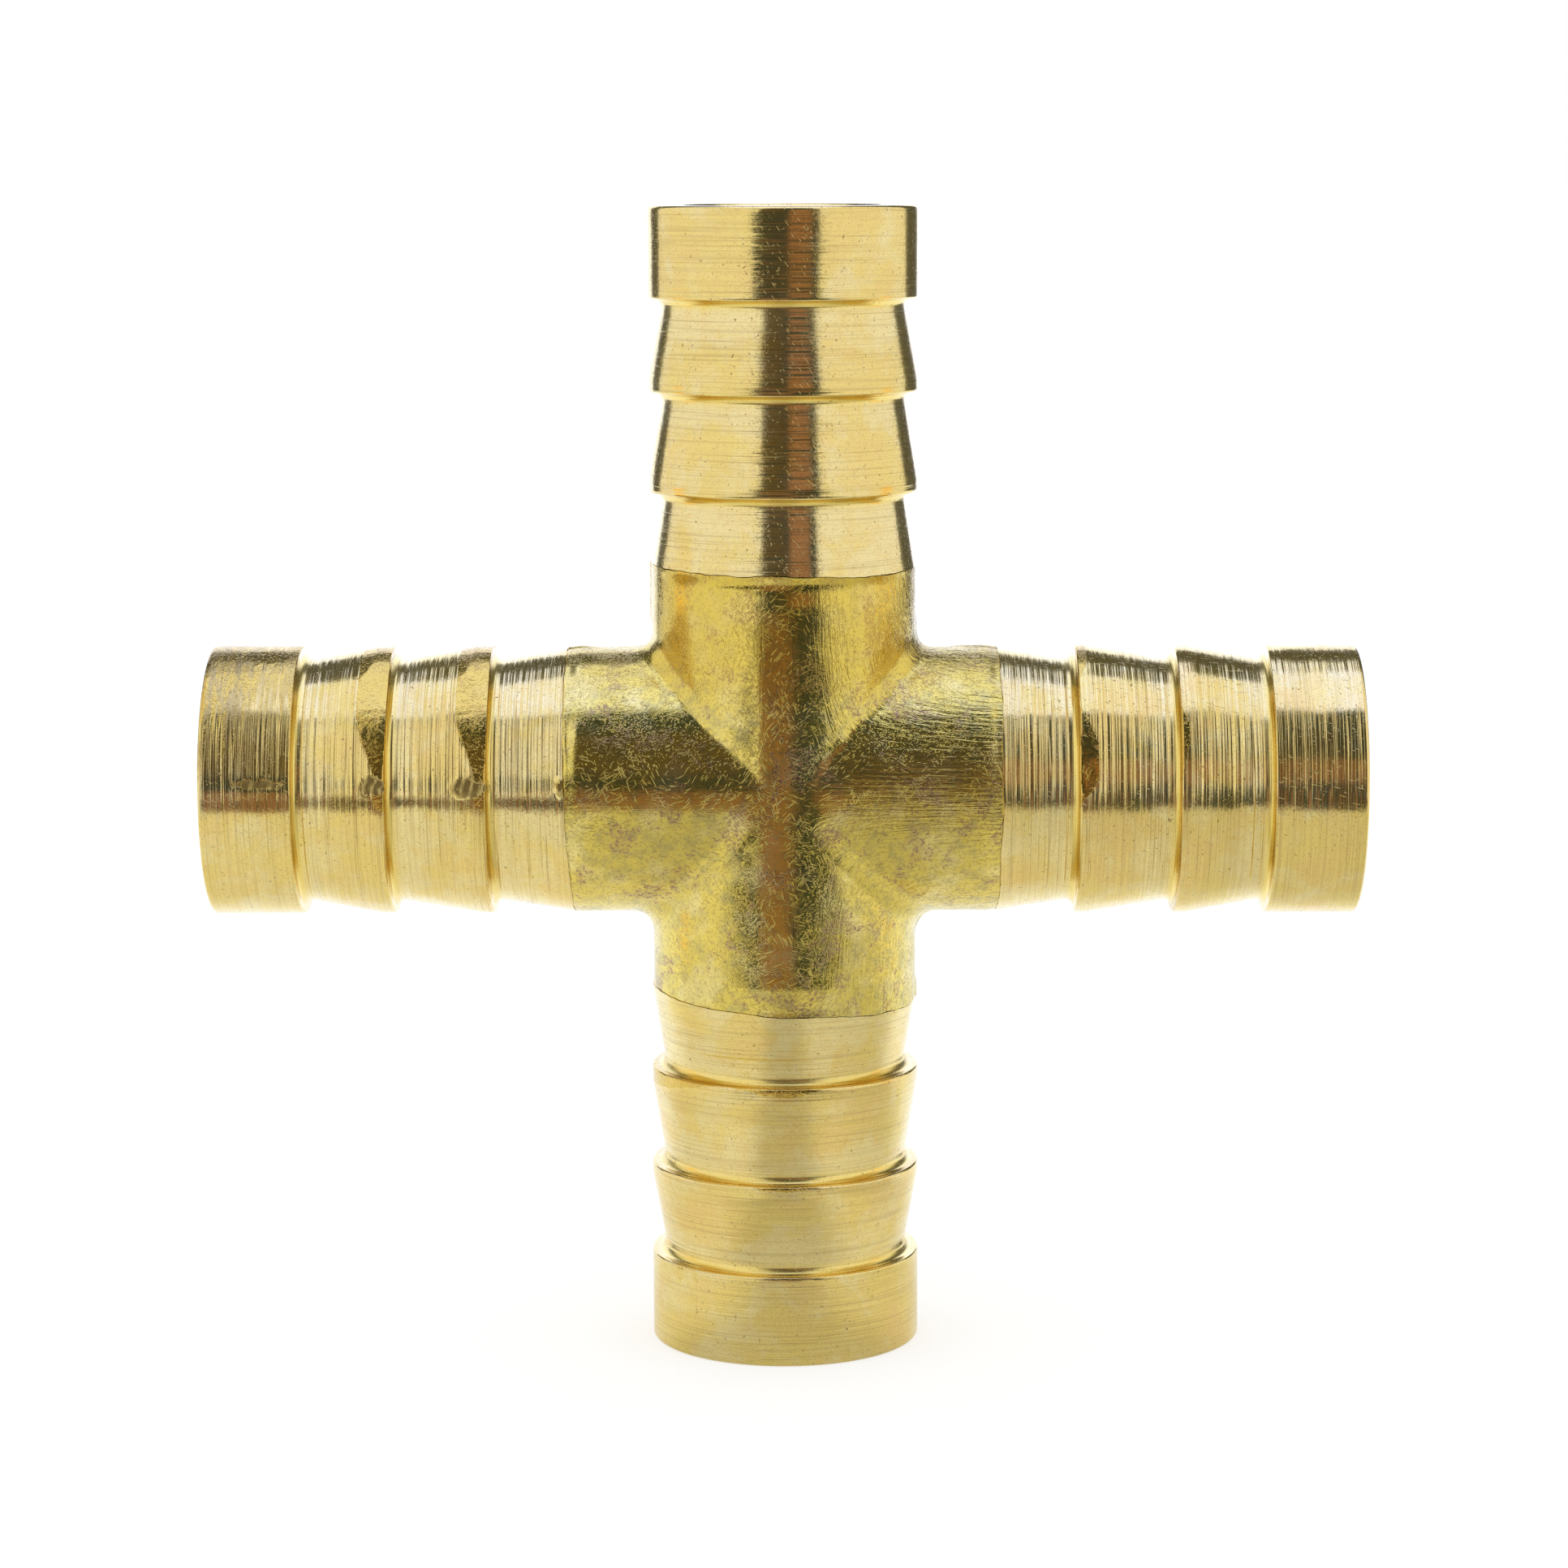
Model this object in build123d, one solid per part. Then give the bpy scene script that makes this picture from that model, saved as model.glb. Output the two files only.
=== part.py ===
from build123d import *
import os

# Four-way barbed hose cross in brass, in millimetres.
#
# Origin: where the two waterway axes cross, at the centre of the fitting.
# +X and +Z run along the hose tails, and Y is square to the plane of the cross.
# The fitting is 56 mm across both ways and takes 12 to 13 mm (1/2 in) hose on all four tails.
#
# cross_body        hot-forged cross with four short stubs, each counterbored for a spigot
# hose_tail_*       four equal turned tails: nose collar, two full barbs and one that runs out at the seam
#
# Stations are distances from the centre along a tail's axis, and radii are measured from that axis.

# Driving dimensions
SPAN = 56.0  # nose to nose
NOSE_RADIUS = 6.6  # plain collar at the nose
CREST_RADIUS = 6.585  # barb crests
ROOT_RADIUS = 5.88  # valley at the foot of each cone
SEAM_RADIUS = 6.48  # where the last cone runs out at the body
BORE_RADIUS = 4.8  # waterway
HORIZONTAL_STUB_RADIUS = 6.52  # as-forged stubs along X
VERTICAL_STUB_RADIUS = 6.44  # as-forged stubs along Z, slightly slimmer

COLLAR_LENGTH = 4.45
FIRST_BARB_LENGTH = 4.5
SECOND_BARB_LENGTH = 4.85
LAST_CONE_LENGTH = 3.65
CREST_LAND = 0.6  # short plain length at each crest, before its shoulder

SPIGOT_RADIUS = 5.6
SPIGOT_LENGTH = 2.55

# Edge breaks
NOSE_ROUND = 0.25
CREST_ROUND = 0.22
ROOT_ROUND = 0.2
MOUTH_CHAMFER = 0.4
SPIGOT_CHAMFER = 0.2
CROTCH_ROUND = 0.6  # concave radius where the stubs meet

# Stations worked out from the lengths
NOSE = SPAN / 2
COLLAR_END = NOSE - COLLAR_LENGTH
FIRST_CREST = COLLAR_END - FIRST_BARB_LENGTH
SECOND_CREST = FIRST_CREST - SECOND_BARB_LENGTH
SEAM = SECOND_CREST - LAST_CONE_LENGTH
SPIGOT_END = SEAM - SPIGOT_LENGTH

CUT_OVERRUN = 1.0  # cutters run this far past the faces they cut

# The rotation that turns a tail built along +Z to each of its places
TAIL_ROTATIONS = {
    "top": (0, 0, 0),
    "right": (0, 90, 0),
    "bottom": (0, 180, 0),
    "left": (0, -90, 0),
}


def round_corners(face, corners, radius):
    """Rounds the face's corners that stand at these (radius, station) points."""
    for x, z in corners:
        vertex = face.vertices().sort_by_distance((x, 0, z))[0]
        face = fillet(vertex, radius)
    return face


def tail_section():
    """Half section of a hose tail in the XZ plane: X is the radius and Z is the station."""
    outline = Polyline(
        (BORE_RADIUS, 0, SPIGOT_END),
        (SPIGOT_RADIUS - SPIGOT_CHAMFER, 0, SPIGOT_END),
        (SPIGOT_RADIUS, 0, SPIGOT_END + SPIGOT_CHAMFER),
        (SPIGOT_RADIUS, 0, SEAM),
        (SEAM_RADIUS, 0, SEAM),
        (ROOT_RADIUS, 0, SECOND_CREST),
        (CREST_RADIUS, 0, SECOND_CREST),
        (CREST_RADIUS, 0, SECOND_CREST + CREST_LAND),
        (ROOT_RADIUS, 0, FIRST_CREST),
        (CREST_RADIUS, 0, FIRST_CREST),
        (CREST_RADIUS, 0, FIRST_CREST + CREST_LAND),
        (ROOT_RADIUS, 0, COLLAR_END),
        (NOSE_RADIUS, 0, COLLAR_END),
        (NOSE_RADIUS, 0, NOSE),
        (BORE_RADIUS + MOUTH_CHAMFER, 0, NOSE),
        (BORE_RADIUS, 0, NOSE - MOUTH_CHAMFER),
        close=True,
    )
    section = make_face(outline)
    roots = [(ROOT_RADIUS, station) for station in (SECOND_CREST, FIRST_CREST, COLLAR_END)]
    crests = [(CREST_RADIUS, station) for station in (SECOND_CREST, FIRST_CREST)]
    section = round_corners(section, roots, ROOT_ROUND)
    section = round_corners(section, crests, CREST_ROUND)
    return round_corners(section, [(NOSE_RADIUS, NOSE)], NOSE_ROUND)


def hose_tail():
    """One turned tail along +Z, from its spigot inside the body to its nose."""
    return revolve(tail_section(), axis=Axis.Z)


def stub_cutter():
    """The counterbore that one spigot sits in, along +Z."""
    depth = SEAM - SPIGOT_END + CUT_OVERRUN
    align = (Align.CENTER, Align.CENTER, Align.MIN)
    return Pos(0, 0, SPIGOT_END) * Cylinder(SPIGOT_RADIUS, depth, align=align)


def cross_body():
    """Forged cross: two crossing stubs blended at the crotches, bored and counterbored."""
    turn_to_x = Rotation(0, 90, 0)
    blank = Cylinder(VERTICAL_STUB_RADIUS, 2 * SEAM)
    blank += turn_to_x * Cylinder(HORIZONTAL_STUB_RADIUS, 2 * SEAM)
    crotches = [edge for edge in blank.edges() if edge.geom_type != GeomType.CIRCLE]
    crotches = [edge for edge in crotches if edge.geom_type != GeomType.LINE]
    body = fillet(crotches, CROTCH_ROUND)
    bore = Cylinder(BORE_RADIUS, SPAN)
    body -= bore
    body -= turn_to_x * bore
    for angles in TAIL_ROTATIONS.values():
        body -= Rotation(*angles) * stub_cutter()
    return body


def main():
    os.makedirs("parts", exist_ok=True)
    export_step(cross_body(), "parts/cross_body.step")
    tail = hose_tail()
    for side, angles in TAIL_ROTATIONS.items():
        export_step(Rotation(*angles) * tail, f"parts/hose_tail_{side}.step")


main()
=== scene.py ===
import math

import bpy
import numpy as np
from mathutils import Matrix, Vector, noise


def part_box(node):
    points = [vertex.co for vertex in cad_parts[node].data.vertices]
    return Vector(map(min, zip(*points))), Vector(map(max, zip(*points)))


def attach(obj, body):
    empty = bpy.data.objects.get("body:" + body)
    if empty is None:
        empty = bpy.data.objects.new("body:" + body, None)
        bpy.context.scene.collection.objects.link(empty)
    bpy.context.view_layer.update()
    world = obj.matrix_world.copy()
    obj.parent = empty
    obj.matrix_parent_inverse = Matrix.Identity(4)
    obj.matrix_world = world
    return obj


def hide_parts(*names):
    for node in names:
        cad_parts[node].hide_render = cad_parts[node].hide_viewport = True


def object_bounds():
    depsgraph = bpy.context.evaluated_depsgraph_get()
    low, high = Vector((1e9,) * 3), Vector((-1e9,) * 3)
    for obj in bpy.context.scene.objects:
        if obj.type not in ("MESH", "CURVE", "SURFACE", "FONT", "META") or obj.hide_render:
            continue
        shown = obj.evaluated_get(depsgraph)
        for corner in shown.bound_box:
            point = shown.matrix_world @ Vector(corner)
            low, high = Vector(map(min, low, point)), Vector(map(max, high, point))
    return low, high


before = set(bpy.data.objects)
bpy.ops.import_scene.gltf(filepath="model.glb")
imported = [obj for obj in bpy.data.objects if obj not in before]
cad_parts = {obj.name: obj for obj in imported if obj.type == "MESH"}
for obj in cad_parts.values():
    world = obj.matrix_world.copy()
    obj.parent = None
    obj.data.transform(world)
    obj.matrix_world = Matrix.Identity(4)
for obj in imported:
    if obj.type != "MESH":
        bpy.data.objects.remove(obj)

# A brass hose cross, standing on the nose of its bottom tail.
# The CAD nodes give the box; every visible piece is a mesh built here in millimetres and scaled to metres.
#
# Sections: driving sizes, noise, mesh helpers, seam, tails, body, materials, build, stage, camera.

MM = 0.001
cad_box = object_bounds()

# ---------------------------------------------------------------- driving sizes, in millimetres

tail_low, tail_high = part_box("hose_tail_top")
_, body_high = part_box("cross_body")
NOSE = tail_high.z / MM  # station of the noses
NOSE_RADIUS = tail_high.x / MM
SEAM = body_high.z / MM  # nominal station where the turned cone meets the forged skin
SPIGOT_END = tail_low.z / MM
SPIGOT_RADIUS = 5.6
BORE_RADIUS = 4.8
CREST_RADIUS = NOSE_RADIUS - 0.015
ROOT_RADIUS = 5.88
SEAM_RADIUS = 6.46
COLLAR_END = NOSE - 4.45
FIRST_CREST = COLLAR_END - 4.5
SECOND_CREST = FIRST_CREST - 4.85
CREST_LAND = 0.6  # plain length at each crest
CREST_ROUND = 0.12
ROOT_ROUND = 0.36
LAND_ROUND = 1.6  # between a crest's plain length and its cone
COLLAR_ROUND = 0.09
NOSE_ROUND = 0.2
RING_EDGE = BORE_RADIUS + 0.7  # the outer and inner outlines meet here on the nose's flat ring
MOUTH_WIDTH = 0.42  # the mouth's chamfer, across and along
MOUTH_DEPTH = 0.5
SPIGOT_CHAMFER = 0.2
SHOULDERS = (SECOND_CREST, FIRST_CREST, COLLAR_END)  # stations of the steps that grip the hose
RAGGED_FROM = SECOND_CREST - 0.4  # the last cone's rows spread from here to the ragged seam
ARC_STEP = 0.07  # spacing along rounded corners
UPRIGHT_SKIN = 6.45  # skin radius of the stubs along Z, and their reach to the front
UPRIGHT_FRONT = 6.565
ACROSS_SKIN = 6.50  # the same for the stubs along X
ACROSS_FRONT = 6.44

TURNS = 288  # vertices round each tail and stub
OUTER_STEP = 0.11  # spacing along a tail's outer surface
INNER_STEP = 0.9
FACET_ALLOWANCE = 0.0015  # the CAD model's facets stand this far inside its true radius
SHARP_ANGLE = 38  # edges that turn more than this many degrees stay sharp

FRONT = np.array([0.0, -1.0, 0.0])
AXES = {
    "top": (np.array([0.0, 0, 1]), np.array([1.0, 0, 0])),
    "bottom": (np.array([0.0, 0, -1]), np.array([1.0, 0, 0])),
    "left": (np.array([-1.0, 0, 0]), np.array([0.0, 0, 1])),
    "right": (np.array([1.0, 0, 0]), np.array([0.0, 0, 1])),
}
# angle 0 faces the front (-Y) and grows towards the second vector of each pair

angles = np.arange(TURNS) * 2 * math.pi / TURNS


# ---------------------------------------------------------------- noise and easing

def wobble(points, size, seed):
    """Smooth noise from -1 to 1 at each point, with features about size millimetres across."""
    shift = Vector((seed * 7.31, seed * 3.17, seed * 5.53))
    return np.array([noise.noise(Vector(p) / size + shift) for p in points])


def ring_wobble(size, seed, radius=6.5):
    """The same noise round one ring, closed on itself."""
    ring = np.stack([radius * np.cos(angles), radius * np.sin(angles), np.zeros(TURNS)], 1)
    return wobble(ring, size, seed)


def ease(value, start, end):
    t = np.clip((value - start) / (end - start), 0, 1)
    return t * t * (3 - 2 * t)


def bump_at(value, centre, width):
    return np.exp(-((value - centre) / width) ** 2)


def turn_from(centre_deg):
    """Angle of each turn from a centre, in degrees from -180 to 180."""
    return (np.degrees(angles) - centre_deg + 180) % 360 - 180


# ---------------------------------------------------------------- mesh helpers

def make_piece(name, points, faces):
    """A smooth-shaded object from points in millimetres and quads, with its normals turned outward."""
    mesh = bpy.data.meshes.new(name)
    mesh.vertices.add(len(points))
    mesh.vertices.foreach_set("co", (points * MM).astype(np.float32).ravel())
    mesh.loops.add(faces.size)
    mesh.loops.foreach_set("vertex_index", faces.astype(np.int32).ravel())
    mesh.polygons.add(len(faces))
    mesh.polygons.foreach_set("loop_start", np.arange(0, faces.size, 4, dtype=np.int32))
    mesh.polygons.foreach_set("use_smooth", np.ones(len(faces), bool))
    mesh.update(calc_edges=True)
    mesh.validate()
    mesh.set_sharp_from_angle(angle=math.radians(SHARP_ANGLE))
    if signed_volume(points, faces) < 0:
        mesh.flip_normals()
    piece = bpy.data.objects.new(name, mesh)
    bpy.context.scene.collection.objects.link(piece)
    return piece


def signed_volume(points, faces):
    a, b, c, d = (points[faces[:, k]] for k in range(4))
    return float((np.cross(a, b) * c).sum() + (np.cross(a, c) * d).sum())


def add_value(piece, name, values):
    attribute = piece.data.attributes.new(name, "FLOAT", "POINT")
    attribute.data.foreach_set("value", values.astype(np.float32))


def add_vector(piece, name, values):
    attribute = piece.data.attributes.new(name, "FLOAT_VECTOR", "POINT")
    attribute.data.foreach_set("vector", values.astype(np.float32).ravel())


# ---------------------------------------------------------------- the seam, shared by tails and body

SEAM_TILTS = {  # how far the seam stands inward, how far it tilts out, both in mm, and the tilt's angle
    "top": (-0.05, 0.12, 250),
    "bottom": (0.0, 0.42, 70),
    "left": (0.2, 0.22, 60),
    "right": (0.14, 0.14, 20),
}


def seam_line(side, seed):
    """Station of the seam at each angle: a slightly tilted and ragged ring."""
    inward, tilt, toward = SEAM_TILTS[side]
    ragged = 0.08 * ring_wobble(2.2, seed) + 0.04 * ring_wobble(0.6, seed + 9)
    return SEAM - inward + tilt * np.cos(np.radians(turn_from(toward))) + ragged


SEAMS = {side: seam_line(side, number + 1) for number, side in enumerate(AXES)}


SEAM_GROOVE = 0.05  # depth of the fine groove between the cut and the skin
SEAM_GAP = 0.002  # the tail's last rows stand this far outside the seam


def cone_radius(station):
    """Radius of the last cone, which runs out at the seam."""
    share = (SECOND_CREST - station) / (SECOND_CREST - SEAM)
    return ROOT_RADIUS + (SEAM_RADIUS - ROOT_RADIUS) * share


# ---------------------------------------------------------------- hose tails

def rounded(corner, before, after, radius):
    """Points of a rounded corner between the directions to before and after."""
    c, b, a = (np.array(p, float) for p in (corner, before, after))
    to_b = (b - c) / np.linalg.norm(b - c)
    to_a = (a - c) / np.linalg.norm(a - c)
    half = math.acos(np.clip(to_b @ to_a, -1, 1)) / 2
    reach = radius / math.tan(half)
    middle = c + (to_b + to_a) / np.linalg.norm(to_b + to_a) * radius / math.sin(half)
    start, end = c + to_b * reach - middle, c + to_a * reach - middle
    first, last = math.atan2(start[1], start[0]), math.atan2(end[1], end[0])
    sweep = (last - first + math.pi) % (2 * math.pi) - math.pi
    steps = max(5, math.ceil(radius * abs(sweep) / ARC_STEP))
    turn = first + sweep * np.linspace(0, 1, steps)
    return [tuple(middle + radius * np.array([math.cos(t), math.sin(t)])) for t in turn]


def fill(points, step):
    """Divides the straight runs of an outline so that no run is longer than step."""
    out = [points[0]]
    for a, b in zip(points, points[1:]):
        a, b = np.array(a), np.array(b)
        count = max(1, math.ceil(np.linalg.norm(b - a) / step))
        out += [tuple(a + (b - a) * k / count) for k in range(1, count + 1)]
    return out


def outer_outline():
    """Radius and station along the outside of a tail, from the seam to the nose's outer edge."""
    corners = [
        (SEAM_RADIUS, SEAM, 0),
        (ROOT_RADIUS, SECOND_CREST, ROOT_ROUND),
        (CREST_RADIUS, SECOND_CREST, CREST_ROUND),
        (CREST_RADIUS, SECOND_CREST + CREST_LAND, LAND_ROUND),
        (ROOT_RADIUS, FIRST_CREST, ROOT_ROUND),
        (CREST_RADIUS, FIRST_CREST, CREST_ROUND),
        (CREST_RADIUS, FIRST_CREST + CREST_LAND, LAND_ROUND),
        (ROOT_RADIUS, COLLAR_END, ROOT_ROUND),
        (NOSE_RADIUS, COLLAR_END, COLLAR_ROUND),
        (NOSE_RADIUS, NOSE, NOSE_ROUND),
        (RING_EDGE, NOSE, 0),
    ]
    points = [corners[0][:2]]
    for before, (radius, station, round_by), after in zip(corners, corners[1:], corners[2:]):
        points += rounded((radius, station), before[:2], after[:2], round_by)
    return points


def inner_outline():
    """From the nose's flat ring through the mouth and bore to the spigot and back out to the seam."""
    mouth = (BORE_RADIUS + MOUTH_WIDTH, NOSE)
    throat = (BORE_RADIUS, NOSE - MOUTH_DEPTH)
    points = [(RING_EDGE, NOSE)]
    points += rounded(mouth, (NOSE_RADIUS, NOSE), throat, 0.1)
    points += rounded(throat, mouth, (BORE_RADIUS, SEAM), 0.3)
    points += [(BORE_RADIUS, SPIGOT_END), (SPIGOT_RADIUS - SPIGOT_CHAMFER, SPIGOT_END)]
    points += [(SPIGOT_RADIUS, SPIGOT_END + SPIGOT_CHAMFER), (SPIGOT_RADIUS, SEAM - 1.2)]
    return points


def skin_width(side, crest):
    """How far the forged skin is left standing from a crest's edge over its cone, at each angle."""
    t = turn_from(0)
    near_body = crest == SECOND_CREST
    if side == "left":
        widest = 1.0 if near_body else 0.92
        return ease(t, -7, -3) * (0.55 + widest * ease(t, 4, 40)) * (1 - ease(t, 105, 140))
    if side == "right" and near_body:
        return 0.92 * ease(t, -6, 10) * (1 - ease(t, 18, 46)) + 0.5 * ease(t, 48, 70) * (1 - ease(t, 80, 120))
    if side == "right":
        return 0.42 * ease(t, 5, 26) * (1 - ease(t, 30, 44))
    if side == "bottom" and near_body:
        return 0.42 * bump_at(t, -1, 14) + 0.75 * ease(-t, 20, 75) * (1 - ease(-t, 110, 150))
    if side == "bottom":
        return 0.2 * bump_at(t, 0, 14)
    return np.zeros(TURNS)


def left_on_crests(side, s, r):
    """The skin that the tool left behind each crest: its share, and the radius cut down to it."""
    skin = np.zeros(TURNS)
    for crest, foot in ((SECOND_CREST, FIRST_CREST), (FIRST_CREST, COLLAR_END)):
        ragged = 0.05 * ring_wobble(1.2, 7) + 0.06 * ring_wobble(0.45, 8)
        width = skin_width(side, crest) + ragged * (skin_width(side, crest) > 0.05)
        from_edge = s[0] - crest
        if not -0.01 <= from_edge < foot - crest:
            continue
        slope = (CREST_RADIUS - ROOT_RADIUS) / (foot - crest - CREST_LAND)
        inside = (width > 0.02) * (1 - ease(from_edge, width - 0.05, width + 0.03))
        skin = np.maximum(skin, inside)
        lowered = 1 - 0.8 * ease(turn_from(0), 45, 75)
        limit = CREST_RADIUS - lowered * slope * np.clip(width - CREST_LAND, 0, None) - 0.004
        r = np.where(width > 0.02, np.minimum(r, limit), r)
    return skin, r


def left_on_collar(station):
    """Share of streaky skin on the left tail's collar, where the tool only just touched it."""
    t = turn_from(0)
    nose_side = ease(station, NOSE - 3.2, NOSE - 0.6)
    upward = 0.75 * ease(t, 18, 62) + 0.35 * ease(t, 6, 26) * nose_side
    return np.clip(upward, 0, 1) * (1 - ease(t, 120, 160))


def worn_collar(side, station):
    """Share of brown wear on the upper front of the left tail's collar, strongest towards the nose."""
    if side != "left" or station < COLLAR_END:
        return np.zeros(TURNS)
    t = turn_from(0)
    toward_nose = 0.45 + 0.55 * ease(station, COLLAR_END + 0.5, NOSE - 1.0)
    return ease(t, 3, 9) * (1 - ease(t, 60, 110)) * toward_nose


def in_groove(station, radius):
    """1 on the rounded foot of each cone, 0 elsewhere; the material paints a golden reflection there."""
    near = sum(bump_at(station, shoulder - 0.1, 0.3) for shoulder in SHOULDERS)
    return near * (1 - ease(radius, ROOT_RADIUS + 0.2, ROOT_RADIUS + 0.45))


def near_root(station):
    """1 at the foot of each cone, falling to 0 at its wide end and on the collar."""
    second = ease(station, SECOND_CREST + 2.2, FIRST_CREST - 0.3) * (station < FIRST_CREST)
    first = ease(station, FIRST_CREST + 2.0, COLLAR_END - 0.3) * (station < COLLAR_END)
    last = (0.45 + 0.55 * ease(station, SEAM + 1.4, SECOND_CREST - 0.3)) * (station < SECOND_CREST)
    return second + first + last


# Crumpled flash trimmed off the front of the left tail: station, half length, angle in degrees, half width
LUMPS = [
    (FIRST_CREST + 0.58, 0.65, 5, 0.45),
    (SECOND_CREST + 0.80, 0.88, 4.5, 0.46),
    (NOSE - 3.0, 1.25, 6, 0.22),
    (SEAM + 0.05, 0.22, 4, 0.42),
]


FOLD_PITCH = 0.45  # spacing of the folds in a lump
FOLD_DEPTH = 0.11
COLLAR_FOLD_DEPTH = 0.04


def raise_lumps(ring, s, r, radius, seed):
    """The lumps' share of one row, and the row's radius with the folded lumps raised out of it."""
    scar = np.zeros(TURNS)
    for place, long, toward, wide in LUMPS:
        off = turn_from(toward) * math.pi / 180 * radius
        spot = np.hypot((s - place) / long, off / wide) + 0.28 * wobble(ring, 0.45, seed + 30)
        mound = 1 - ease(spot, 0.85, 1.08)
        folds = (s - place) / FOLD_PITCH + 0.45 * off / wide + 0.5 * wobble(ring, 0.8, seed + 40)
        creases = (1 - np.abs(np.sin(math.pi * folds))) ** 3
        top = NOSE_RADIUS - 0.004 - (FOLD_DEPTH if place < COLLAR_END else COLLAR_FOLD_DEPTH) * creases
        scar = np.maximum(scar, mound)
        r = r + (top - r) * mound * (radius > ROOT_RADIUS + 0.2)
    return scar, r


def outer_row(side, station, radius, outward, seed):
    """Stations and radii of one row on the outside, and its shares of left skin and of lumps."""
    axis = AXES[side][0]
    r, s = np.full(TURNS, radius), np.full(TURNS, station)
    skin, scar = np.zeros(TURNS), np.zeros(TURNS)
    if station < RAGGED_FROM:
        s = station + (SEAMS[side] - SEAM) * (RAGGED_FROM - station) / (RAGGED_FROM - SEAM)
        r = cone_radius(s)
    ring = outward * r[:, None] + axis * s[:, None]
    if radius > ROOT_RADIUS + 0.3 and station > SECOND_CREST - 0.01:
        skin, r = left_on_crests(side, s, r)
    if side == "left" and station > COLLAR_END:
        skin = left_on_collar(station)
        r = r - skin * (0.006 + 0.006 * wobble(ring, 0.8, seed + 20))
    if side == "left":
        scar, r = raise_lumps(ring, s, r, radius, seed)
        skin = np.maximum(skin, scar)
    if radius > ROOT_RADIUS + 0.35:
        burr = sum(bump_at(station, shoulder, 0.12) for shoulder in SHOULDERS)
        r = r - burr * 0.016 * (0.5 + 0.5 * wobble(ring, 0.5, seed + 60))
    r = r + 0.004 * wobble(ring, 3.0, seed + 50)
    return s, np.minimum(r, NOSE_RADIUS - FACET_ALLOWANCE), skin, scar


def tail_mesh(side, seed):
    """A closed loop of rings, with the values that the material reads kept on its vertices."""
    axis, across = AXES[side]
    outer = fill(outer_outline(), OUTER_STEP)
    inner = fill(inner_outline(), INNER_STEP)[1:]
    outward = FRONT[None] * np.cos(angles)[:, None] + across[None] * np.sin(angles)[:, None]
    seam = SEAMS[side]
    points = []
    values = {"skin": [], "scar": [], "root_paling": [], "worn": [], "groove": []}
    for index, (radius, station) in enumerate(outer + inner):
        if index < len(outer):
            s, r, skin, scar = outer_row(side, station, radius, outward, seed)
        else:
            s, r = np.full(TURNS, station), np.full(TURNS, radius)
            skin, scar = np.zeros(TURNS), np.zeros(TURNS)
        points.append(outward * r[:, None] + axis * s[:, None])
        row = (skin, scar, near_root(s), worn_collar(side, station), in_groove(s, radius))
        for rows, value in zip(values.values(), row):
            rows.append(value)
    # the last rows turn down into the fine groove at the seam, on the same ragged ring as the body's lip
    for radius in (np.full(TURNS, SPIGOT_RADIUS), cone_radius(seam) - SEAM_GROOVE):
        points.append(outward * radius[:, None] + axis * (seam + SEAM_GAP)[:, None])
        for rows in values.values():
            rows.append(np.zeros(TURNS))
    points, rows_count = np.array(points), len(points)
    index = np.arange(rows_count * TURNS).reshape(rows_count, TURNS)
    a, b = index, np.roll(index, -1, 0)
    faces = np.stack([a, np.roll(a, -1, 1), np.roll(b, -1, 1), b], 2).reshape(-1, 4)
    piece = make_piece(f"hose_tail_{side}_turned", points.reshape(-1, 3), faces)
    for name, rows in values.items():
        add_value(piece, name, np.array(rows).ravel())
    return piece


# ---------------------------------------------------------------- forged body

STUB_ROWS = 62
CROTCH_BLEND = 0.95


def skin_offset(points):
    """Unevenness of the forged skin, outward, at each point."""
    slow = 0.024 * wobble(points, 3.4, 61) + 0.013 * wobble(points, 1.5, 62)
    fine = 0.003 * wobble(points, 0.55, 63)
    x, y, z = points.T
    away = np.maximum(np.abs(x), np.abs(z)) - 4.5
    ridge = 0.10 * bump_at(y, 0.15, 0.28) * ease(away, 0, 2.0)
    ridge = ridge * ease(wobble(points, 2.0, 64), -0.25, 0.45)
    front = ease(-y, 2.0, 5.0)
    waist = -0.03 * ease(z, 4.0, SEAM - 1.2) + 0.15 * np.clip((z - SEAM + 0.85) / 0.8, 0, 1) ** 2
    ends = -0.07 * ease(np.abs(x), SEAM - 0.7, SEAM - 0.1)
    torn = bump_at(x - z, 0.1, 0.75) * ease(x, 0.8, 2.2) * front
    torn = torn * (0.05 * wobble(points, 0.55, 66) + 0.04 * wobble(points, 1.1, 67))
    return slow + fine + ridge + waist * front + ends + torn


def body_distance(points):
    """Signed distance to the two blended tubes, negative inside; near the seams they are truly round."""
    x, y, z = points.T
    proud_up = 1 - np.where(z > 0, ease(z, SEAM - 1.6, SEAM - 0.2), ease(-z, SEAM - 1.2, SEAM - 0.1))
    proud_across = 1 - ease(np.abs(x), SEAM - 4.0, SEAM - 0.8)
    squeeze_up = 1 + (UPRIGHT_SKIN / UPRIGHT_FRONT - 1) * proud_up
    squeeze_across = 1 + (ACROSS_SKIN / ACROSS_FRONT - 1) * proud_across
    upright = np.hypot(x, y * squeeze_up) - UPRIGHT_SKIN
    across = np.hypot(z, y * squeeze_across) - ACROSS_SKIN
    facing = (y * y + 1e-9) / (np.hypot(x, y) * np.hypot(z, y) + 1e-9)
    soft = 0.04 + 0.22 * ease(-z, -1.5, 1.5)
    blend = CROTCH_BLEND * (1 - facing) + soft
    share = np.clip(blend - np.abs(upright - across), 0, None) / blend
    return np.minimum(upright, across) - share * share * blend / 4


def body_gradient(points):
    step = 1e-3
    slopes = []
    for k in range(3):
        shift = np.zeros(3)
        shift[k] = step
        slopes.append((body_distance(points + shift) - body_distance(points - shift)) / (2 * step))
    return np.stack(slopes, 1)


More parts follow.
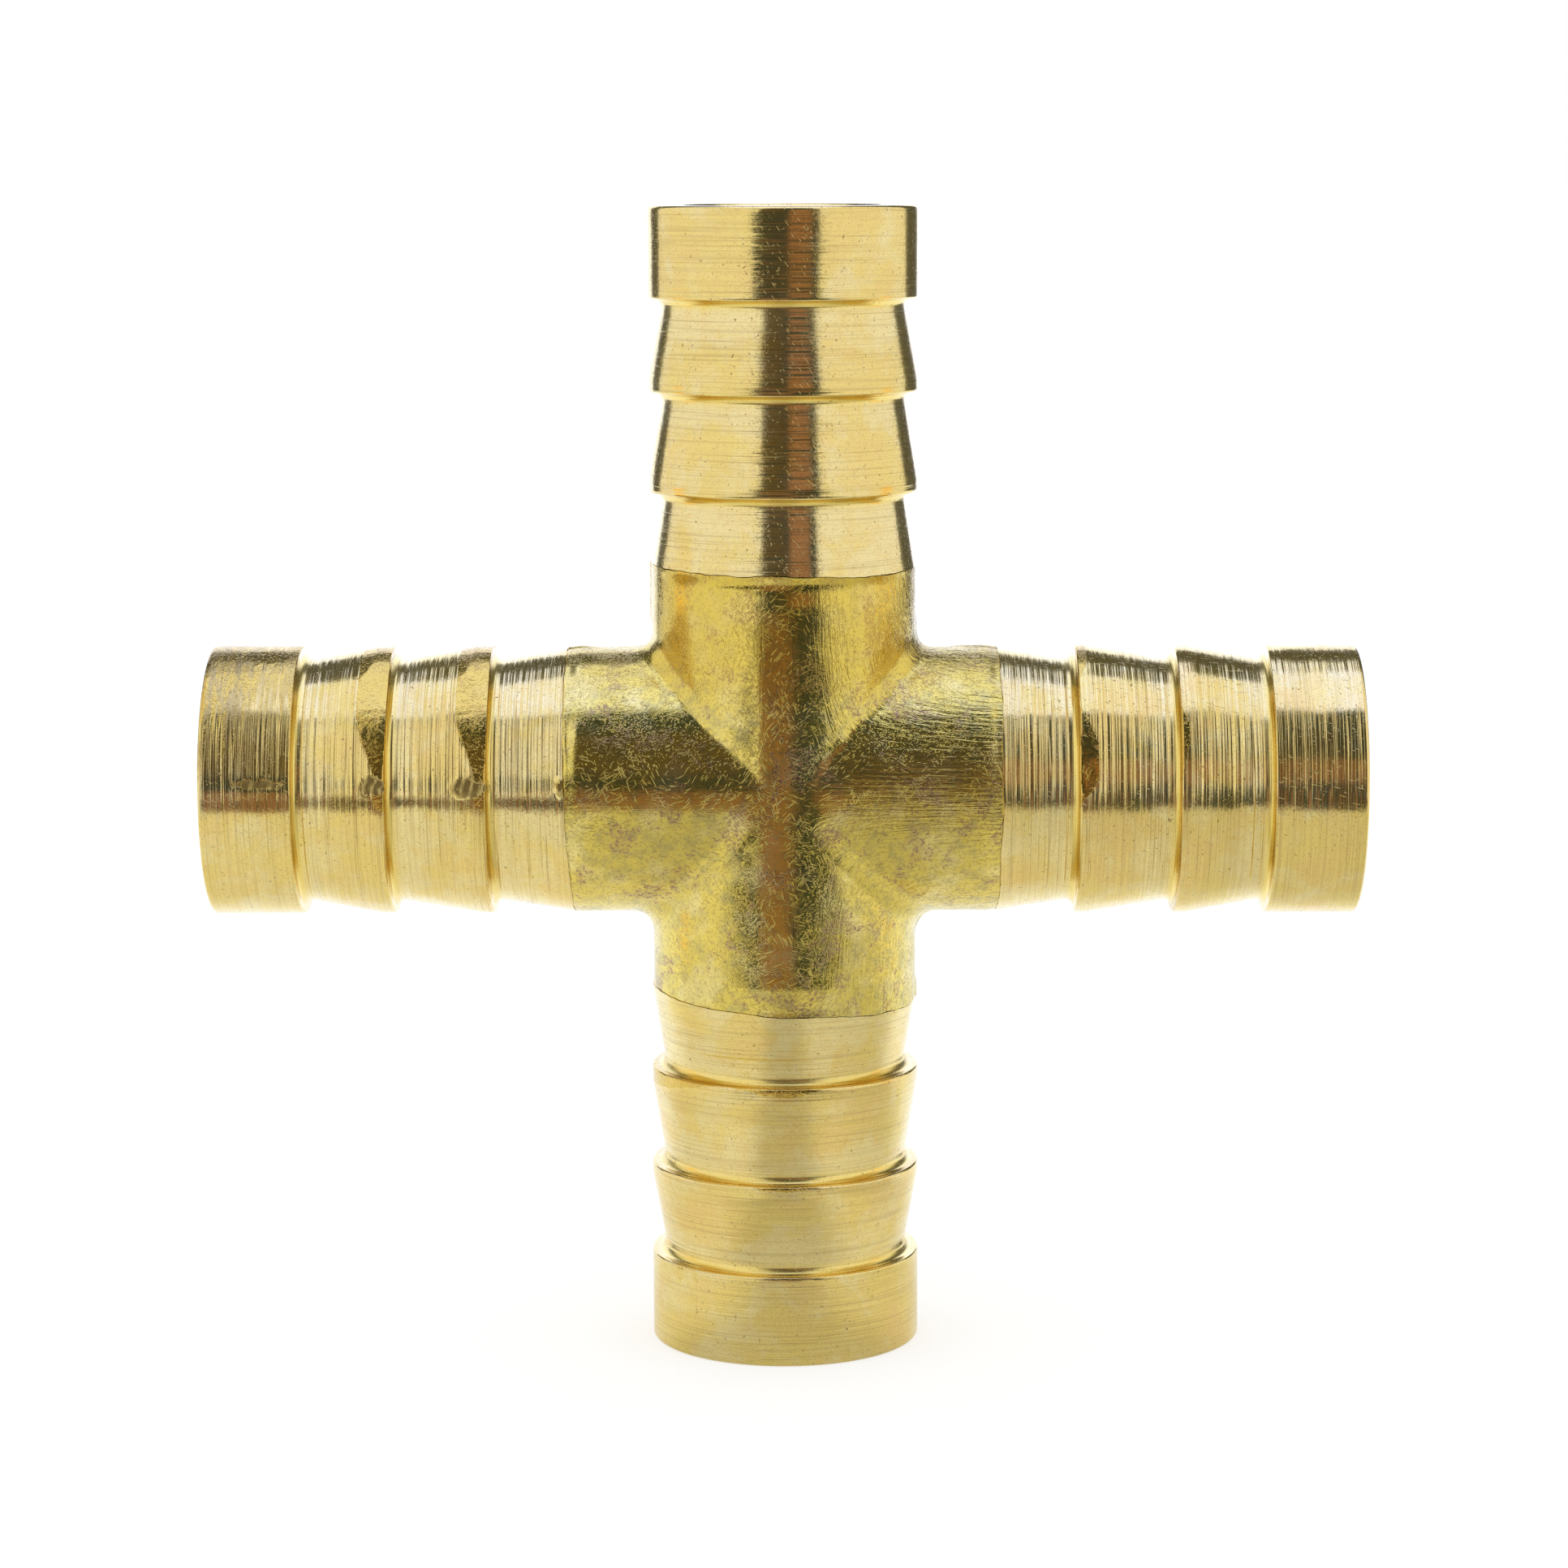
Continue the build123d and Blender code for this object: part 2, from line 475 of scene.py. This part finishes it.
def settle(points, offset):
    """Moves points along the gradient to where the distance equals the offset."""
    for _ in range(6):
        slope = body_gradient(points)
        square = (slope * slope).sum(1) + 1e-9
        points = points - slope * ((body_distance(points) - offset) / square)[:, None]
    return points


def body_mesh():
    """Four stubs that share their crotch lines, each a closed loop of rows from outside to inside."""
    around = np.abs(np.sin(angles))
    share = np.linspace(0, 1, STUB_ROWS + 1)
    all_points, all_faces = [], []
    place = {}

    def number(point, kind):
        key = (kind,) + tuple(np.round(point, 4) + 0.0)
        if key not in place:
            place[key] = len(all_points)
            all_points.append(point)
        return place[key]

    for side, (axis, across) in AXES.items():
        outward = FRONT[None] * np.cos(angles)[:, None] + across[None] * np.sin(angles)[:, None]
        seam = SEAMS[side]
        start = SEAM_RADIUS * around
        edge = seam - 0.045 - 0.03 * ring_wobble(0.8, 71)  # the skin stops just short of the cut
        rows = []
        for t in share:
            station = start + (edge - start) * t
            rows.append(("outer", outward * SEAM_RADIUS + axis * station[:, None]))
        lip = cone_radius(seam) - SEAM_GROOVE
        rows.append(("lip", outward * lip[:, None] + axis * (seam - 0.005)[:, None]))
        rows.append(("step", outward * SPIGOT_RADIUS + axis * seam[:, None]))
        rows.append(("step", outward * SPIGOT_RADIUS + axis * SPIGOT_END))
        rows.append(("step", outward * BORE_RADIUS + axis * SPIGOT_END))
        inner_start = BORE_RADIUS * around
        for t in np.linspace(1, 0, 7)[1:]:
            station = inner_start + (SPIGOT_END - inner_start) * t
            rows.append(("inner", outward * BORE_RADIUS + axis * station[:, None]))
        index = np.array([[number(p, kind) for p in ring] for kind, ring in rows])
        a, b = index[:-1], index[1:]
        quads = np.stack([a, np.roll(a, -1, 1), np.roll(b, -1, 1), b], 2).reshape(-1, 4)
        if np.linalg.det(np.stack([FRONT, across, axis])) < 0:
            quads = quads[:, ::-1]
        all_faces.append(quads)
    points = np.array(all_points)
    faces = np.concatenate(all_faces)
    kinds = [key[0] for key in place]
    outer = np.array([kind == "outer" for kind in kinds])
    skin = points[outer]
    reach = np.maximum(np.abs(skin[:, 0]), np.abs(skin[:, 2]))
    settled = settle(skin, skin_offset(skin))
    # the rows keep their stations near the seam, so that the edge stays on the seam line
    hold = ease(reach, SEAM - 1.5, SEAM - 0.4)
    for k in (0, 2):
        along = np.abs(skin[:, k]) >= reach - 1e-9
        settled[along, k] += (skin[along, k] - settled[along, k]) * hold[along]
    front_limit = -cad_box[0][1] / MM
    settled[:, 1] = np.clip(settled[:, 1], -front_limit, front_limit)
    points[outer] = settled
    piece = make_piece("cross_body_forging", points, faces)
    x, y, z = points.T
    spread = np.sqrt(x * x + z * z) + 1.0
    flow = np.stack([x * z / spread, (x * x - z * z) / spread, y], 1)
    add_vector(piece, "flow", flow)
    return piece


# ---------------------------------------------------------------- materials

class Nodes:
    """Short calls for building one material's node tree."""

    def __init__(self, name):
        self.material = bpy.data.materials.new(name)
        self.material.use_nodes = True
        self.tree = self.material.node_tree
        self.tree.nodes.clear()

    def add(self, kind, inputs=(), **settings):
        node = self.tree.nodes.new(kind)
        for key, value in settings.items():
            setattr(node, key, value)
        for key, value in dict(inputs).items():
            self.feed(node.inputs[key], value)
        return node

    def feed(self, socket, value):
        if isinstance(value, bpy.types.NodeSocket):
            self.tree.links.new(value, socket)
        else:
            socket.default_value = value

    def math(self, operation, a, b=0.0, clamp=False):
        return self.add("ShaderNodeMath", {0: a, 1: b}, operation=operation, use_clamp=clamp).outputs[0]

    def place(self, vector, scale, shift=(0, 0, 0), turn=0.0):
        """Turns the vector about Y by degrees, then scales and shifts it."""
        if turn:
            inputs = {"Vector": vector, "Rotation": (0, math.radians(turn), 0)}
            vector = self.add("ShaderNodeMapping", inputs).outputs[0]
        return self.add("ShaderNodeMapping", {"Vector": vector, "Scale": scale, "Location": shift}).outputs[0]

    def strokes(self, vector, turn, seed, cover):
        """Short hair-like strokes that lie at one angle, from 0 to 1."""
        scale = (1 / STROKE_WIDTH, 1 / STROKE_WIDTH, 1 / STROKE_LENGTH)
        cells = self.place(vector, scale, (seed, seed * 2.1, seed * 0.7), turn)
        distance = self.add("ShaderNodeTexVoronoi", {"Vector": cells, "Scale": 1.0}).outputs["Distance"]
        return self.window(distance, cover * 0.3, cover, 1.0, 0.0)

    def noise_vector(self, vector, scale, amount):
        """A slow random shift of up to about half the amount each way, in millimetres."""
        shift = self.add("ShaderNodeTexNoise", {"Vector": vector, "Scale": scale, "Detail": 1.0})
        inputs = {0: shift.outputs["Color"], "Scale": amount}
        return self.add("ShaderNodeVectorMath", inputs, operation="SCALE").outputs[0]

    def noise(self, vector, scale=1.0, detail=2.0, roughness=0.5, distortion=0.0):
        inputs = {"Vector": vector, "Scale": scale, "Detail": detail, "Roughness": roughness,
                  "Distortion": distortion}
        return self.add("ShaderNodeTexNoise", inputs).outputs[0]

    def window(self, value, low, high, to_low=0.0, to_high=1.0):
        inputs = {"Value": value, "From Min": low, "From Max": high, "To Min": to_low, "To Max": to_high}
        return self.add("ShaderNodeMapRange", inputs, interpolation_type="SMOOTHSTEP").outputs[0]

    def mix(self, share, a, b):
        node = self.add("ShaderNodeMix", data_type="RGBA")
        self.feed(node.inputs["Factor"], share)
        self.feed(node.inputs["A"], a)
        self.feed(node.inputs["B"], b)
        return node.outputs["Result"]

    def mix_value(self, share, a, b):
        node = self.add("ShaderNodeMix", data_type="FLOAT")
        self.feed(node.inputs["Factor"], share)
        self.feed(node.inputs["A"], a)
        self.feed(node.inputs["B"], b)
        return node.outputs["Result"]

    def value_of(self, name):
        return self.add("ShaderNodeAttribute", attribute_name=name).outputs["Fac"]

    def vector_of(self, name):
        return self.add("ShaderNodeAttribute", attribute_name=name).outputs["Vector"]

    def surface(self, colour, roughness, bumps):
        """A metal whose bumps are (pattern, depth in millimetres) pairs, from coarse to fine."""
        normal = None
        for pattern, depth in bumps:
            node = self.add("ShaderNodeBump", {"Strength": 1.0, "Distance": depth * MM, "Height": pattern})
            if normal:
                self.feed(node.inputs["Normal"], normal)
            normal = node.outputs[0]
        shader = self.add("ShaderNodeBsdfPrincipled", {"Base Color": colour, "Roughness": roughness})
        shader.inputs["Metallic"].default_value = 1.0
        self.feed(shader.inputs["Normal"], normal)
        return self.show(shader)

    def light(self, colour):
        """Plain light of this colour."""
        return self.show(self.add("ShaderNodeEmission", {"Color": colour, "Strength": 1.0}))

    def show(self, shader):
        self.add("ShaderNodeOutputMaterial", {"Surface": shader.outputs[0]})
        return self.material

    def position(self):
        """X, Y and Z of the surface point, in metres."""
        split = self.add("ShaderNodeSeparateXYZ", {0: self.add("ShaderNodeTexCoord").outputs["Object"]})
        return [split.outputs[axis] for axis in "XYZ"]

    def between(self, value, low, high, soft):
        """1 from low to high, with soft edges."""
        rise = self.window(value, low - soft, low + soft)
        return self.math("MULTIPLY", rise, self.window(value, high - soft, high + soft, 1.0, 0.0))


STROKE_WIDTH = 0.075  # spacing of the strokes' cells across and along, in millimetres
STROKE_LENGTH = 1.5

PALE_GOLD = (0.875, 0.73, 0.355, 1)
GOLD = (0.85, 0.665, 0.222, 1)
ROSE_GOLD = (0.84, 0.60, 0.24, 1)
FORGED_YELLOW = (0.80, 0.63, 0.145, 1)
FORGED_DEEP = (0.70, 0.49, 0.07, 1)
FORGED_OLIVE = (0.60, 0.50, 0.165, 1)
FORGED_PALE = (0.88, 0.75, 0.32, 1)
PIT_BROWN = (0.24, 0.15, 0.075, 1)
STAIN_BROWN = (0.40, 0.25, 0.16, 1)
# painted reflection: deep gold for the brass reflecting itself in the root grooves
GROOVE_REFLECTION_GOLD = (0.88, 0.66, 0.15, 1)
SCAR_OLIVE = (0.47, 0.355, 0.125, 1)
WORN_BROWN = (0.50, 0.375, 0.145, 1)
SKIN_GOLD = (0.71, 0.475, 0.10, 1)


def object_mm(n):
    where = n.add("ShaderNodeTexCoord").outputs["Object"]
    return n.place(where, (1 / MM, 1 / MM, 1 / MM))


def forged_skin(n, where, lines):
    """Colour, roughness and bumps of the forged and tumbled skin; lines is the height of its flow lines."""
    slow = n.noise(where, 0.45, 3.0, 0.55)
    mottle = n.noise(where, 1.5, 5.0, 0.7)
    speckle = n.noise(where, 6.5, 3.0, 0.65)
    specks = n.window(n.noise(where, 6.5, 3.0, 0.7), 0.49, 0.57)
    clusters = n.window(n.noise(where, 0.55, 5.0, 0.7, 0.3), 0.54, 0.60)
    pits = n.math("MULTIPLY", specks, clusters)
    inputs = {0: where, 1: n.noise_vector(where, 0.7, 0.4)}
    bent = n.add("ShaderNodeVectorMath", inputs, operation="ADD").outputs[0]
    strokes = 0.0
    for turn, seed in ((24, 1.0), (-38, 5.0), (74, 9.0), (-66, 13.0)):  # four directions, in degrees
        mask = n.window(n.noise(n.place(where, (0.5, 0.5, 0.5), (seed, 0, seed)), 1.0, 2.0), 0.40, 0.60)
        layer = n.math("MULTIPLY", n.strokes(bent, turn, seed, 0.31), mask)
        strokes = n.math("MAXIMUM", strokes, layer)
    colour = n.mix(n.window(mottle, 0.42, 0.66), FORGED_YELLOW, FORGED_OLIVE)
    colour = n.mix(n.window(slow, 0.48, 0.68, 0.0, 0.7), colour, FORGED_PALE)
    colour = n.mix(n.math("MULTIPLY", n.window(speckle, 0.5, 0.62), 0.30), colour, PIT_BROWN)
    colour = n.mix(n.math("MULTIPLY", strokes, 0.28), colour, PIT_BROWN)
    colour = n.mix(n.math("MULTIPLY", clusters, 0.22), colour, STAIN_BROWN)
    colour = n.mix(n.math("MULTIPLY", pits, 0.8), colour, STAIN_BROWN)
    roughness = n.window(speckle, 0.44, 0.64, 0.10, 0.24)
    roughness = n.math("MAXIMUM", roughness, n.window(strokes, 0.0, 1.0, 0.1, 0.25))
    bumps = [
        (lines, 0.018),
        (mottle, 0.0060),
        (speckle, 0.0012),
        (n.math("MULTIPLY", strokes, -1.0), 0.0075),
        (n.math("MULTIPLY", pits, -1.0), 0.003),
    ]
    return colour, roughness, bumps


def forged_brass():
    """The body's skin: flow lines follow the arms and are strongest on the right."""
    n = Nodes("forged_brass")
    where = object_mm(n)
    split = n.add("ShaderNodeSeparateXYZ", {0: where})
    x, z = split.outputs["X"], split.outputs["Z"]
    lines = n.noise(n.place(n.vector_of("flow"), (8.0, 0.36, 3.0)), 1.0, 3.0, 0.65, 0.35)
    lines = n.math("MULTIPLY", lines, n.window(x, 0.5, 5.0, 0.35, 3.0))
    colour, roughness, bumps = forged_skin(n, where, lines)
    colour = n.mix(n.window(z, 3.5, 6.5, 0.0, 0.5), colour, FORGED_DEEP)
    return n.surface(colour, roughness, bumps)


def turned_brass(name, along, groove, collar, rose, gloss, seed, has_skin):
    """Lathe-turned brass: rings round the axis, tarnish blotches, pits, and patches of forged skin."""
    n = Nodes(name)
    where = object_mm(n)

    def rings(pitch, wander):
        scale = [wander] * 3
        scale[along] = 1 / pitch
        return n.place(where, scale, (seed, seed * 1.7, seed * 2.3))

    fine = n.noise(rings(0.075, 0.07), 1.0, 2.0, 0.7)
    coarse = n.noise(rings(0.22, 0.05), 1.0, 1.0, 0.5)
    lone = n.window(n.noise(rings(0.09, 0.12), 1.0, 1.0, 0.5), 0.64, 0.72)
    patches = n.noise(n.place(where, (0.3, 0.3, 0.3), (seed, 0, 0)), 1.0, 2.0)
    station = n.math("ABSOLUTE", n.add("ShaderNodeSeparateXYZ", {0: where}).outputs[along])
    zone = n.window(patches, 0.35, 0.65, 0.6, 1.1)
    zone = n.math("MULTIPLY", zone, n.window(station, COLLAR_END - 0.1, COLLAR_END + 0.1, 1.0, collar))
    ring_height = n.math("ADD", n.math("MULTIPLY", fine, 0.8), n.math("MULTIPLY", coarse, 3.0))
    ring_height = n.math("MULTIPLY", n.math("SUBTRACT", ring_height, n.math("MULTIPLY", lone, 0.5)), zone)
    pits = n.window(n.noise(where, 4.5, 3.0, 0.65), 0.66, 0.72)
    blotch = n.noise(n.place(where, (0.4, 0.4, 0.4), (seed * 0.3, 2, 5)), 1.0, 6.0, 0.7, 0.3)
    # paler towards the foot of each cone
    blotch = n.math("SUBTRACT", blotch, n.math("MULTIPLY", n.value_of("root_paling"), 0.16))
    tarnish = n.window(blotch, 0.34, 0.56)
    rosy = n.window(n.noise(where, 0.25, 4.0, 0.62), 0.42, 0.62)
    dust = n.window(n.noise(where, 9.0, 3.0, 0.7), 0.48, 0.72)
    shade = n.window(n.noise(rings(0.06, 0.12), 1.0, 2.0, 0.6), 0.45, 0.72)
    mottle = n.window(n.noise(where, 1.3, 5.0, 0.75), 0.46, 0.60)
    groove_reflection_share = n.value_of("groove")
    colour = n.mix(tarnish, PALE_GOLD, GOLD)
    colour = n.mix(n.math("MULTIPLY", n.math("MULTIPLY", rosy, tarnish), rose), colour, ROSE_GOLD)
    colour = n.mix(n.math("MULTIPLY", mottle, 0.30), colour, ROSE_GOLD)
    colour = n.mix(n.math("MULTIPLY", n.math("MAXIMUM", dust, shade), 0.30), colour, PIT_BROWN)
    colour = n.mix(n.math("MULTIPLY", pits, 0.6), colour, PIT_BROWN)
    colour = n.mix(n.math("MULTIPLY", lone, 0.2), colour, PIT_BROWN)
    # painted reflection: the rounded foot of each cone turns deeper gold, for the brass reflecting itself in
    # the groove
    colour = n.mix(n.math("MULTIPLY", groove_reflection_share, 0.75), colour, GROOVE_REFLECTION_GOLD)
    roughness = n.window(patches, 0.3, 0.7, gloss, gloss * 1.5)
    roughness = n.math("ADD", roughness, n.math("MULTIPLY", dust, 0.04))
    roughness = n.math("ADD", roughness, n.math("MULTIPLY", groove_reflection_share, 0.11))
    bumps = [
        (ring_height, groove),
        (dust, 0.0012),
        (n.math("MULTIPLY", n.strokes(where, 37 + seed, seed + 3.0, 0.16), -1.0), 0.006),
        (n.math("MULTIPLY", pits, -1.0), 0.012),
    ]
    if not has_skin:
        return n.surface(colour, roughness, bumps)
    scar = n.value_of("scar")
    raw_skin = n.math("ADD", n.value_of("skin"), n.math("MULTIPLY", n.math("SUBTRACT", coarse, 0.5), 2.0))
    skin = n.math("MULTIPLY", n.window(raw_skin, 0.42, 0.58), n.math("SUBTRACT", 1.0, scar, clamp=True))
    turned = n.math("SUBTRACT", 1.0, n.math("MAXIMUM", skin, scar), clamp=True)
    skin_colour, skin_roughness, skin_bumps = forged_skin(n, where, n.noise(where, 2.5, 3.0))
    streaks = n.window(n.noise(rings(0.35, 0.45), 1.0, 5.0, 0.8), 0.42, 0.56)
    worn = n.math("MULTIPLY", n.value_of("worn"), streaks)
    colour = n.mix(skin, colour, n.mix(0.75, skin_colour, SKIN_GOLD))
    colour = n.mix(worn, colour, WORN_BROWN)
    colour = n.mix(scar, colour, SCAR_OLIVE)
    roughness = n.mix_value(skin, roughness, skin_roughness)
    dull = n.math("MAXIMUM", scar, n.math("MULTIPLY", worn, 0.25))
    roughness = n.math("ADD", roughness, n.math("MULTIPLY", dull, 0.24))
    crumple = n.math("SUBTRACT", n.noise(where, 1.9, 2.0, 0.5, 0.4), 0.5)
    bumps = [(n.math("MULTIPLY", height, turned), depth) for height, depth in bumps]
    bumps += [(n.math("MULTIPLY", height, skin), depth) for height, depth in skin_bumps]
    bumps.append((n.math("MULTIPLY", crumple, scar), 0.04))
    return n.surface(colour, roughness, bumps)


# ---------------------------------------------------------------- build the object

TURNED = {  # axis index, groove depth in mm, its share on the collar, share of the rosier tint, roughness
    "top": (2, 0.009, 0.8, 0.35, 0.09),
    "bottom": (2, 0.007, 0.8, 0.7, 0.13),
    "left": (0, 0.021, 0.6, 0.4, 0.10),
    "right": (0, 0.023, 0.85, 0.6, 0.10),
}

body = body_mesh()
body.data.materials.append(forged_brass())
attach(body, "root")
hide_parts("cross_body")

for order, side in enumerate(AXES):
    along, groove, collar, rose, gloss = TURNED[side]
    tail = tail_mesh(side, 100 + order * 11)
    finish = turned_brass(
        f"turned_brass_{side}", along, groove, collar, rose, gloss, order * 13.0, side != "top")
    tail.data.materials.append(finish)
    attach(tail, "root")
    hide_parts(f"hose_tail_{side}")


# ---------------------------------------------------------------- stage: floor, reflected studio, camera

def plane(name, centre, half_u, half_v):
    """A stage rectangle from its centre and two half-edge vectors, in metres."""
    c, u, v = (Vector(p) for p in (centre, half_u, half_v))
    mesh = bpy.data.meshes.new(name)
    mesh.from_pydata([c - u - v, c + u - v, c + u + v, c - u + v], [], [(0, 1, 2, 3)])
    card = bpy.data.objects.new(name, mesh)
    bpy.context.scene.collection.objects.link(card)
    return card


def glow(name, colour):
    return Nodes(name).light(colour)


def reflected(card, material):
    """The card shows only in reflections."""
    card.data.materials.append(material)
    card.visible_camera = False
    card.visible_diffuse = False
    card.visible_shadow = False
    card.visible_transmission = False
    card.visible_volume_scatter = False
    return card


FLOOR_Z = cad_box[0][2]
FLOOR_FRONT = -0.080  # the bright paper ends here in the reflections
TENT_HALF_WIDTH = 0.121
FRONT_Y = -0.227
SIDE_BACK = 0.088
BACK_Y = 0.230
TENT_TOP = 0.30
ROOM_LOW, ROOM_HIGH = -0.125, 0.56
SHELL_HALF = (2, 2, 1.5)  # the dim box round everything

WHITE = (1, 1, 1, 1)
PAPER_LEFT = (0.955, 0.945, 0.835, 1)
PAPER_RIGHT = (0.665, 0.655, 0.555, 1)
PAPER_CLOSE = (1.25, 1.2, 1.05, 1)
PAPER_BEHIND = (1.15, 1.2, 1.25, 1)
PAPER_SHADE = (0.05, 0.045, 0.02, 1)
OVERHEAD_WHITE = (1.18, 1.32, 2.1, 1)
BACK_WHITE = (1.35, 1.45, 1.8, 1)
SIDE_WARM = (1.2, 0.86, 0.36, 1)
ROOM_DARK = (0.060, 0.071, 0.074, 1)
ROOM_BROWN = (0.124, 0.096, 0.066, 1)
ROOM_ORANGE_LOW = (0.295, 0.172, 0.125, 1)
ROOM_ORANGE_HIGH = (0.36, 0.205, 0.145, 1)
SHELL_DIM = (0.12, 0.12, 0.10, 1)

floor = plane("floor", (0, 0, FLOOR_Z), (3, 0, 0), (0, 3, 0))
n = Nodes("pale_floor")
paper = n.add("ShaderNodeBsdfDiffuse", {"Color": (0.5, 0.5, 0.5, 1)})
lit = n.add("ShaderNodeEmission", {"Color": WHITE, "Strength": 0.6})
both = n.add("ShaderNodeAddShader", {0: paper.outputs[0], 1: lit.outputs[0]})
floor.data.materials.append(n.show(both))
floor.visible_glossy = False


def paper_glow(reach):
    """Paper that darkens from left to right, brighter close in front, with a dim strip before the object."""
    n = Nodes("paper_white")
    x, y, _ = n.position()
    off_middle = n.math("ABSOLUTE", x)
    colour = n.mix(n.window(x, -reach, reach), PAPER_LEFT, PAPER_RIGHT)
    close = n.window(y, -0.034, -0.016, 0.0, 0.2)
    close = n.math("MULTIPLY", close, n.window(off_middle, 0.016, 0.028, 1.0, 0.0))
    colour = n.mix(close, colour, PAPER_CLOSE)
    colour = n.mix(n.window(y, 0.0, 0.03), colour, PAPER_BEHIND)
    near_middle = n.window(off_middle, 0.006, 0.014, 1.0, 0.0)
    in_front = n.window(y, -0.006, 0.0, 0.32, 0.0)
    return n.light(n.mix(n.math("MULTIPLY", near_middle, in_front), colour, PAPER_SHADE))


def side_glow(side):
    """A white side panel, warm at leg height beside the object; the right one is dark at its front end."""
    n = Nodes(f"side_white_{side}")
    _, y, z = n.position()
    beside = n.math("MULTIPLY", n.window(y, 0.000, 0.006), n.window(y, 0.026, 0.034, 1.0, 0.0))
    warm = n.math("MULTIPLY", beside, n.window(z, 0.003, 0.012, 1.0, 0.0))
    colour = n.mix(warm, WHITE, SIDE_WARM)
    if side == "left":
        return n.light(colour)
    low = n.window(z, -0.016, -0.006, 1.0, 0.0)
    low_front = n.math("MULTIPLY", n.window(y, -0.15, -0.135, 1.0, 0.0), low)
    dark = n.math("MAXIMUM", low_front, n.window(y, -0.203, -0.197, 1.0, 0.0))
    return n.light(n.mix(dark, colour, ROOM_DARK))


def room_glow():
    """The dark room before the tent: brown and orange patches, and white past its left edge."""
    n = Nodes("front_room")
    x, _, z = n.position()

    def patch(left, right, low, high, soft=0.006):
        return n.math("MULTIPLY", n.between(x, left, right, soft), n.between(z, low, high, soft))

    colour = n.mix(patch(-0.075, 0.005, 0.045, 0.25, 0.012), ROOM_DARK, ROOM_BROWN)
    colour = n.mix(patch(-0.085, 0.031, -0.2, -0.010, 0.005), colour, ROOM_ORANGE_LOW)
    colour = n.mix(patch(0.024, 0.104, 0.010, 0.10), colour, ROOM_ORANGE_HIGH)
    # the room's left edge stands further in at leg height and below it
    edge = n.math("ADD", n.window(z, 0.02, 0.045, -0.106, -0.078), n.window(z, -0.018, -0.012, 0.022, 0.0))
    white = n.window(n.math("SUBTRACT", x, edge), -0.004, 0.004, 1.0, 0.0)
    white = n.math("MULTIPLY", white, n.window(z, -0.042, -0.036))
    return n.light(n.mix(white, colour, WHITE))


depth = (BACK_Y - FLOOR_FRONT) / 2
paper_card = plane("paper_glow", (0, FLOOR_FRONT + depth, FLOOR_Z), (0.25, 0, 0), (0, depth, 0))
reflected(paper_card, paper_glow(0.09))
for sign, side in ((-1, "left"), (1, "right")):
    reach, middle, height = (SIDE_BACK - FRONT_Y) / 2, (SIDE_BACK + FRONT_Y) / 2, 0.165
    centre = (sign * TENT_HALF_WIDTH, middle, height + FLOOR_Z)
    reflected(plane(f"side_panel_{side}", centre, (0, reach, 0), (0, 0, height)), side_glow(side))
overhead_white = glow("overhead_white", OVERHEAD_WHITE)
reflected(plane("overhead_front", (0, -0.004, TENT_TOP), (0.2, 0, 0), (0, 0.123, 0)), overhead_white)
reflected(plane("overhead_back", (0, 0.168, TENT_TOP), (0.08, 0, 0), (0, 0.049, 0)), overhead_white)
back = plane("back_panel", (-0.0345, BACK_Y, 0.05), (0.1325, 0, 0), (0, 0, 0.085))
reflected(back, glow("back_white", BACK_WHITE))
room = plane("front_room", (0, FRONT_Y, (ROOM_HIGH + ROOM_LOW) / 2),
             (TENT_HALF_WIDTH, 0, 0), (0, 0, (ROOM_HIGH - ROOM_LOW) / 2))
reflected(room, room_glow())

half_x, half_y, half_z = SHELL_HALF
shell = plane("dim_shell", (0, 0, -half_z), (half_x, 0, 0), (0, half_y, 0))
corners = [(x, y, z) for z in (-half_z, half_z) for y in (-half_y, half_y) for x in (-half_x, half_x)]
sides = [(0, 1, 3, 2), (4, 6, 7, 5), (0, 4, 5, 1), (2, 3, 7, 6), (0, 2, 6, 4), (1, 5, 7, 3)]
shell.data.clear_geometry()
shell.data.from_pydata(corners, [], sides)
reflected(shell, glow("dim_room", SHELL_DIM))

world = bpy.data.worlds.new("studio")
bpy.context.scene.world = world
world.use_nodes = True
world.node_tree.nodes["Background"].inputs["Color"].default_value = (1, 1, 1, 1)

# The camera stands 210 mm from the middle, 8.4 degrees above it.
DISTANCE = 0.210
PITCH, YAW, ROLL = math.radians(8.4), math.radians(0.6), math.radians(-0.17)
TARGET = Vector((0, 0, -0.00028))
toward = Vector((math.sin(YAW) * math.cos(PITCH), -math.cos(YAW) * math.cos(PITCH), math.sin(PITCH)))
camera_data = bpy.data.cameras.new("camera")
camera_data.sensor_width = 36
camera_data.lens = 97.9
camera_data.clip_start = 0.01
camera = bpy.data.objects.new("camera", camera_data)
bpy.context.scene.collection.objects.link(camera)
camera.location = TARGET + toward * DISTANCE
turn = (-toward).to_track_quat("-Z", "Y").to_matrix().to_4x4()
camera.matrix_world = Matrix.Translation(camera.location) @ turn @ Matrix.Rotation(ROLL, 4, "Z")
bpy.context.scene.camera = camera
bpy.context.scene.view_settings.view_transform = "Standard"
